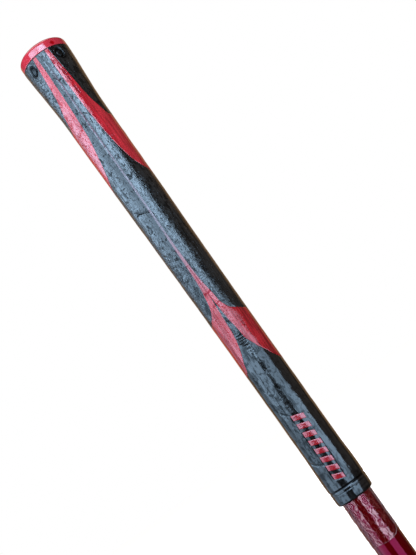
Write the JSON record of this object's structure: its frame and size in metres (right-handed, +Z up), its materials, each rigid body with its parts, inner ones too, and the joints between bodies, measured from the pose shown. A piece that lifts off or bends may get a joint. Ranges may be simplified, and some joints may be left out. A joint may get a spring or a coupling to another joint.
{
  "type": "golf grip",
  "caption": "Flared round golf grip of black elastomer with swept red flame inlays, slanted painted bars and a domed red end cap, taped onto a short length of shaft butt.",
  "frame": {"origin": "centre of the cut lower end of the shaft butt", "axes": "+Z up the shaft towards the end cap; the front, with the painted bars, faces -Y"},
  "size_m": [0.0264, 0.0264, 0.312],
  "materials": {
    "shaft_lacquer": "deep wine-red lacquer on graphite composite, high gloss",
    "tape_film": "thin translucent film, wrinkled, semi-gloss",
    "black_elastomer": "worn satin black elastomer with fine wrinkles",
    "red_elastomer": "worn satin red elastomer with fine wrinkles",
    "emblem_paint": "satin red paint in recesses",
    "cap_plastic": "semi-gloss moulded red plastic"
  },
  "bodies": {
    "root": {"shaft_butt": "shaft_lacquer", "grip_tape": "tape_film", "grip_sleeve": "black_elastomer", "upper_flame": "red_elastomer", "lower_flame": "red_elastomer", "emblem_bar_1": "emblem_paint", "emblem_bar_2": "emblem_paint", "emblem_bar_3": "emblem_paint", "emblem_bar_4": "emblem_paint", "emblem_bar_5": "emblem_paint", "emblem_bar_6": "emblem_paint", "emblem_bar_7": "emblem_paint", "emblem_bar_8": "emblem_paint", "end_cap": "cap_plastic"}
  },
  "joints": []
}
